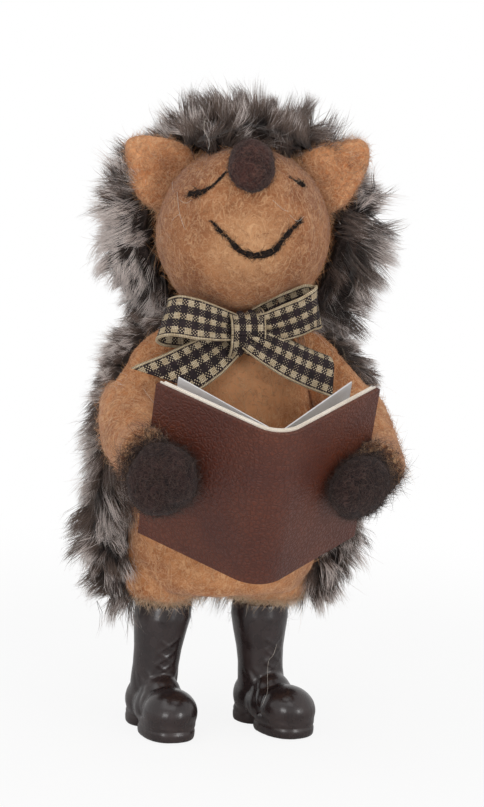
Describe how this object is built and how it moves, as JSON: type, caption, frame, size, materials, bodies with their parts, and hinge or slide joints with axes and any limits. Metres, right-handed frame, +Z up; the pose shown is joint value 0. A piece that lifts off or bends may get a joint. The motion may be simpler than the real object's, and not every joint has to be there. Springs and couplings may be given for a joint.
{
  "type": "hedgehog figurine",
  "caption": "Wool-felt hedgehog figurine with a fake-fur hood and coat, moulded boots and a ribbon bow, reading an open leatherette book whose leaves turn.",
  "frame": {"origin": "on the floor, under the middle of the whole figure's bounding box", "axes": "+Z up; the figure faces -Y; its left hand is on the +X side"},
  "size_m": [0.0618, 0.0728, 0.132],
  "materials": {
    "boot": "moulded, glossy dark brown",
    "stick": "plain birch stick",
    "foam": "light foam",
    "felt": "needle-felted wool",
    "face_felt": "needle-felted wool",
    "nose_felt": "needle-felted wool",
    "paw_felt": "needle-felted wool",
    "thread": "black sewing thread",
    "fur": "long-pile fake fur, dark roots and pale tips",
    "wire": "soft wire",
    "ribbon": "woven ribbon in cream and dark aubergine",
    "leatherette": "grained leatherette",
    "paper": "plain white paper"
  },
  "bodies": {
    "figure": {"right_boot": "boot", "left_boot": "boot", "right_leg_pin": "stick", "left_leg_pin": "stick", "right_thigh": "felt", "left_thigh": "felt", "body_core": "foam", "body_felt": "felt", "neck_dowel": "stick", "head_core": "foam", "head_felt": "face_felt", "right_ear": "face_felt", "left_ear": "face_felt", "nose": "nose_felt", "right_eye_stitch": "thread", "left_eye_stitch": "thread", "mouth_stitch": "thread", "fur_hood": "fur", "fur_coat": "fur", "right_arm": "felt", "left_arm": "felt", "right_arm_wire": "wire", "left_arm_wire": "wire", "right_paw": "paw_felt", "left_paw": "paw_felt", "bow_knot": "ribbon", "bow_right_loop": "ribbon", "bow_left_loop": "ribbon", "bow_right_tail": "ribbon", "bow_left_tail": "ribbon", "book_cover": "leatherette", "book_endpaper": "paper", "book_sheet": "paper"},
    "left_leaf": {"left_page": "paper"},
    "right_leaf": {"right_page": "paper"}
  },
  "joints": [
    {"name": "left_leaf_turn", "type": "hinge", "parent": "figure", "child": "left_leaf", "pos_m": [-0.00164, -0.02653, 0.05626], "axis": [-0.0295, -0.4216, 0.9063], "range_deg": [-8, 9]},
    {"name": "right_leaf_turn", "type": "hinge", "parent": "figure", "child": "right_leaf", "pos_m": [-0.00164, -0.02653, 0.05626], "axis": [-0.0295, -0.4216, 0.9063], "range_deg": [-3, 8]}
  ]
}
